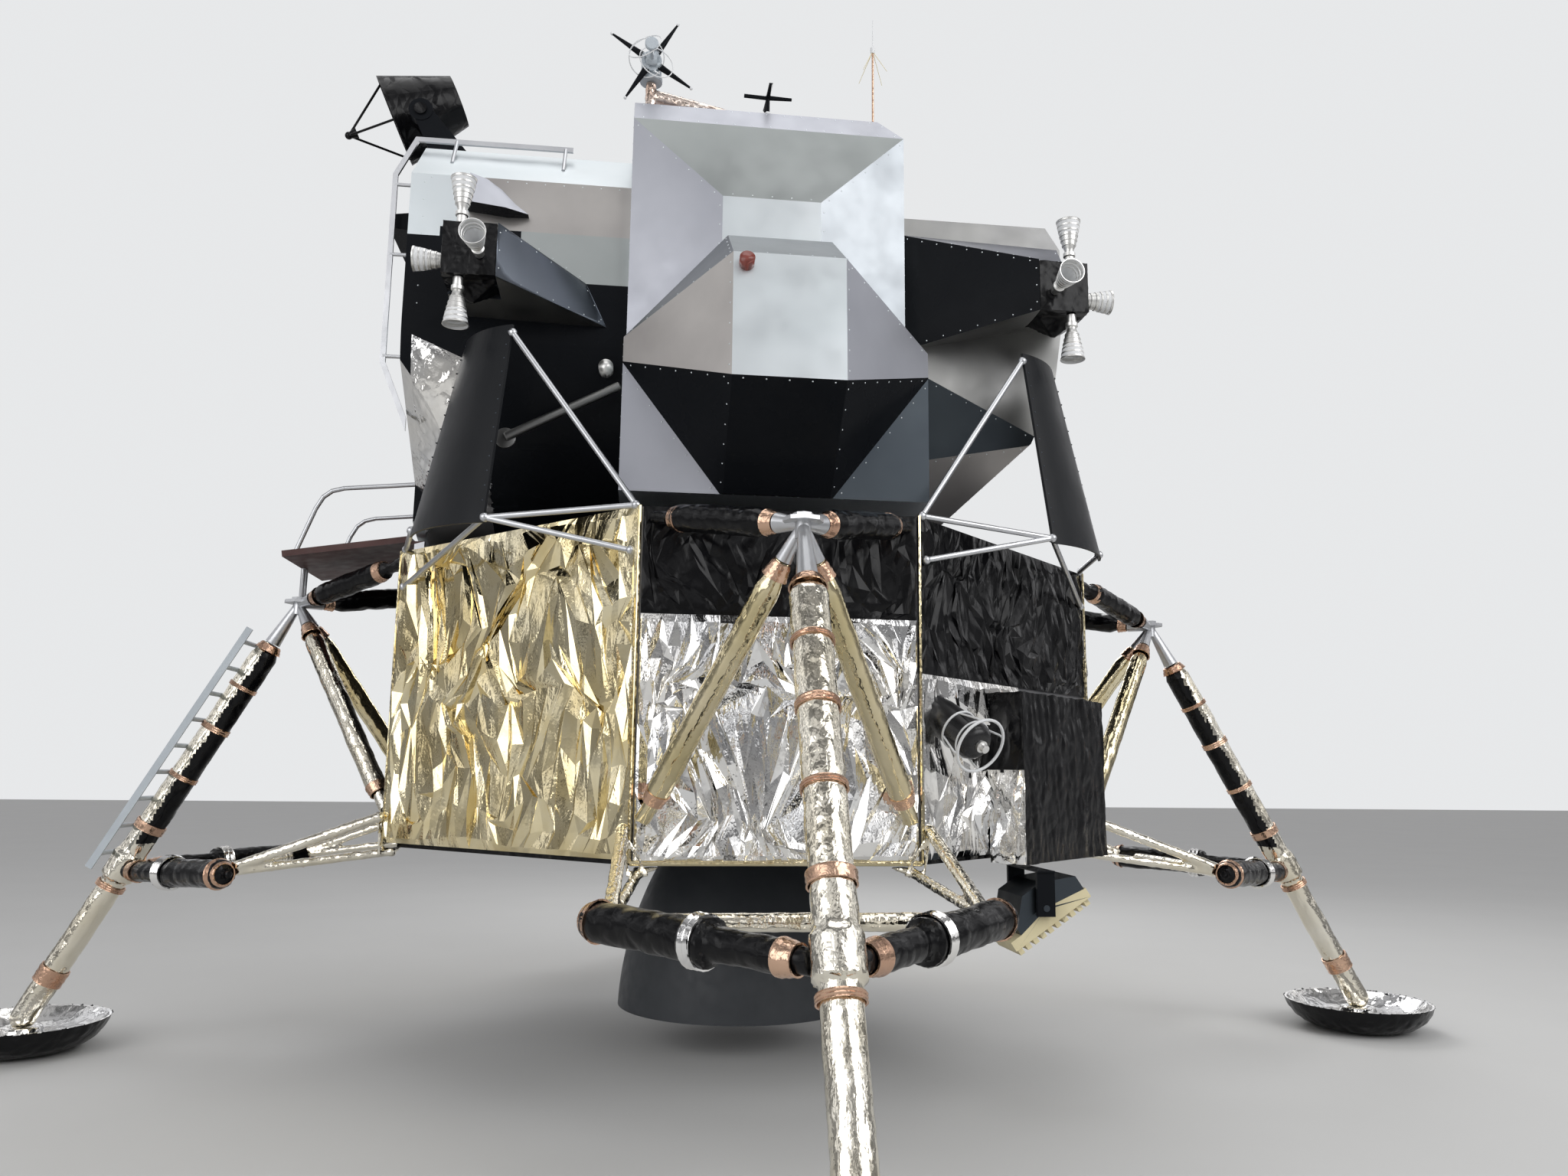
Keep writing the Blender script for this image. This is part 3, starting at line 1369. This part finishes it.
@dataclass
class Cask:
    """The black cask with its hoops, ring guard, cap, arm and stand."""

    start: Point = (1.975, 0.812, 1.955)
    way: Point = (0.72, 0.35, -0.42)
    arm: tuple[Point, Point] = ((1.88, 0.8, 1.9), (2.0, 0.825, 1.93))
    shelf: tuple[Point, Point] = ((2.06, 0.7, 1.65), (1.9, 0.86, 1.65))
    posts: Profile = ((2.03, 0.745), (1.97, 0.805))
    shoulder: float = 0.29
    end: float = 0.345
    radius: float = 0.094
    hoop_at: float = 0.175
    guard: float = 0.135

    def rings(self) -> list[Thing]:
        """The hoops, the ring guard and its stays, on +Z."""
        r, end = self.radius, self.end
        rows = ((self.hoop_at, r + 0.003, 0.006, 40), (self.shoulder - 0.01, r + 0.002, 0.005, 40),
                (end, self.guard, 0.0075, 56))
        rings = [pipe(circle((0, 0, at), round_it, UP, count), wire, "hoop", True)
                 for at, round_it, wire, count in rows]
        for turn in (20, 110, 200, 290):
            c, s = math.cos(math.radians(turn)), math.sin(math.radians(turn))
            knee = (self.guard * c, self.guard * s)
            stay = [(r * c, r * s, self.hoop_at), (*knee, end - 0.03), (*knee, end)]
            rings.append(pipe(stay, 0.005, "stay"))
        return rings

    def build(self) -> None:
        """Make the round pieces on +Z, lean them to the cask's axis and add the stand."""
        place = aimed(self.start, self.way)
        r, shoulder, end = self.radius, self.shoulder, self.end
        body = spun([(0, -0.08), (r, -0.08), (r, shoulder), (r * 0.97, shoulder + 0.012),
                     (r * 0.88, shoulder + 0.03), (r * 0.7, end - 0.008), (r * 0.45, end), (0, end)], "cask", 40)
        whole = joined([settle(body, place), bar(*self.arm, 0.04, "arm")], "cask_body")
        mounted(whole, Coat.CASK, replaced=["fuel_cask"], slot="black_panel")
        mounted(settle(joined(self.rings(), "cask_guard"), place), Coat.WHITE)
        cap = spun([(0, end), (0.03, end), (0.03, end + 0.014), (0.02, end + 0.016), (0.02, end + 0.042),
                    (0, end + 0.045)], "cask_cap")
        mounted(settle(cap, place), Coat.TURNED)
        posts = [bar((x, y, 1.64), (x, y, 1.9), 0.01, "post") for x, y in self.posts]
        mounted(joined([*posts, bar(*self.shelf, 0.012, "shelf")], "cask_stand"), Coat.WHITE)


# Rods and hems on the two stages


@dataclass
class Trim:
    """The pipe on the cabin's port side, the lower rods and the corner strips of the descent stage."""

    pipe: tuple[Point, Point] = ((1.235, -1.469, 3.51), (1.235, -0.838, 3.846))
    flange: Profile = (
        (0, -0.03), (0.058, -0.03), (0.058, -0.012), (0.05, -0.008), (0, -0.008),
    )
    corner: tuple[float, float] = (2.106, 0.694)
    low: float = 1.238
    high: float = 2.94

    def build(self) -> None:
        """Lay the pipe with its flange, then the rods and strips round the stage."""
        flange = settle(spun(self.flange, "flange"), aimed(self.pipe[0], (1, 0, 0)))
        mounted(joined([bar(*self.pipe, 0.026, "pipe"), flange], "side_pipe"), Coat.KEEL)
        x, y = self.corner
        rod = bar((x, -y, self.low), (x, y, self.low), 0.013, "rod")
        strips = [bar((x, at, self.low), (x, at, self.high), 0.008, "strip", sides=8) for at in (-y, y)]
        hems = scattered(joined([rod, *strips], "hem"), QUARTERS, "stage_hems")
        mounted(hems, Coat.GOLD_WRAP)


# Tape bands and collars on the landing gear


@dataclass(frozen=True)
class Band:
    """A band of tape round a tube of the leg that points along +X, on both its sides where y isn't zero."""

    start: Point
    end: Point
    near: float
    far: float
    radius: float
    far_radius: float
    coat: Coat = Coat.COPPER
    wall: float = 0.007
    swell: float = 0.003
    steps: int = 5

    def pieces(self) -> list[Thing]:
        """The band, and its mirror piece where the tube isn't on the leg's middle."""
        profile = []
        for i in range(self.steps + 1):
            t = i / self.steps
            swell = self.swell if i % 2 else 0.0
            radius = self.radius + (self.far_radius - self.radius) * t + swell
            profile.append((radius, (self.far - self.near) * t))
        inner = [(r - self.wall, z) for r, z in reversed(profile)]
        ring = spun([*profile, *inner, profile[0]], "band", 22)
        along = (Vector(self.end) - Vector(self.start)).normalized()
        settle(ring, axis_place(Vector(self.start) + along * self.near, self.end))
        if self.start[1] == self.end[1]:
            return [ring]
        return [ring, mirrored(ring, MIRROR_Y)]


APEX = (2.87, 0.0, 2.7)
KNEE = (3.78, 0.0, 1.035)
ANKLE = (4.235, 0.0, 0.195)
TOP_CORNER = (2.105, 0.63, 2.88)
LOW_CORNER = (2.105, 0.64, 1.43)
BRACE = (2.85, 0.88, 1.085)
BANDS = (
    Band(APEX, TOP_CORNER, 0.16, 0.215, 0.044, 0.058), Band(APEX, TOP_CORNER, 0.79, 0.845, 0.066, 0.054),
    Band(APEX, LOW_CORNER, 0.19, 0.265, 0.042, 0.06), Band(APEX, LOW_CORNER, 1.44, 1.5, 0.063, 0.052),
    Band(APEX, KNEE, 0.3, 0.345, 0.06, 0.08), Band(APEX, KNEE, 0.6, 0.625, 0.0865, 0.0865),
    Band(APEX, KNEE, 0.89, 0.925, 0.0865, 0.0865), Band(APEX, KNEE, 1.235, 1.262, 0.0865, 0.0865),
    Band(APEX, KNEE, 1.57, 1.62, 0.09, 0.088), Band(BRACE, KNEE, 0.065, 0.125, 0.062, 0.084),
    Band(BRACE, KNEE, 0.63, 0.7, 0.093, 0.091, Coat.SILVER, swell=0.009),
    Band(BRACE, KNEE, 1.04, 1.12, 0.068, 0.055),
    Band(KNEE, ANKLE, 0.085, 0.115, 0.085, 0.084), Band(KNEE, ANKLE, 0.64, 0.735, 0.084, 0.082),
)


@dataclass
class LegBands:
    """All the bands, on the four legs."""

    def build(self) -> None:
        """Make each coat's bands once and turn them to the four legs."""
        groups: dict[Coat, list[Thing]] = {}
        for band in BANDS:
            groups.setdefault(band.coat, []).extend(band.pieces())
        for coat, pieces in groups.items():
            whole = scattered(joined(pieces, "bands"), QUARTERS, f"{coat.name.lower()}_bands")
            mounted(smooth(whole, 40), coat)


# Nodes that keep their CAD shape

PLAIN = {
    Coat.CORE: ("descent_core", "cabin_floor"),
    Coat.BLACK: ("heat_shield", "radar_head"),
    Coat.TUBE: ("leg_apex_fittings", "porch_rails", "deflector_trusses", "gimbal_ring", "handrails"),
    Coat.GREY: ("ladder", "antenna_swivel"),
    Coat.NIGHT: ("landing_radar_mount", "radar_pedestal"),
    Coat.CONE: ("engine_bell", "engine_chamber"),
    Coat.SATIN: ("forward_hatch", "midsection", "docking_tunnel"),
    Coat.GLASS: ("window_panes",),
}


def dress_nodes() -> None:
    """Give every CAD node that shows its coat."""
    for coat, nodes in PLAIN.items():
        for node in nodes:
            dressed(FRAME["nodes"][node], [coat])


def main() -> None:
    """Build the scene in order."""
    logging.basicConfig(level=logging.INFO, format="%(name)s %(message)s")
    FRAME.update(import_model())
    Studio().build()
    dress_nodes()
    DescentStage().build()
    for part in (*LEG_WRAPS, *SKINS, FilmPatch(), Thrusters(), SideShields(), Boom(), RoofAerials(),
                 DishWires(), Cask(), Trim(), LegBands()):
        part.build()


if __name__ == "__main__":
    main()
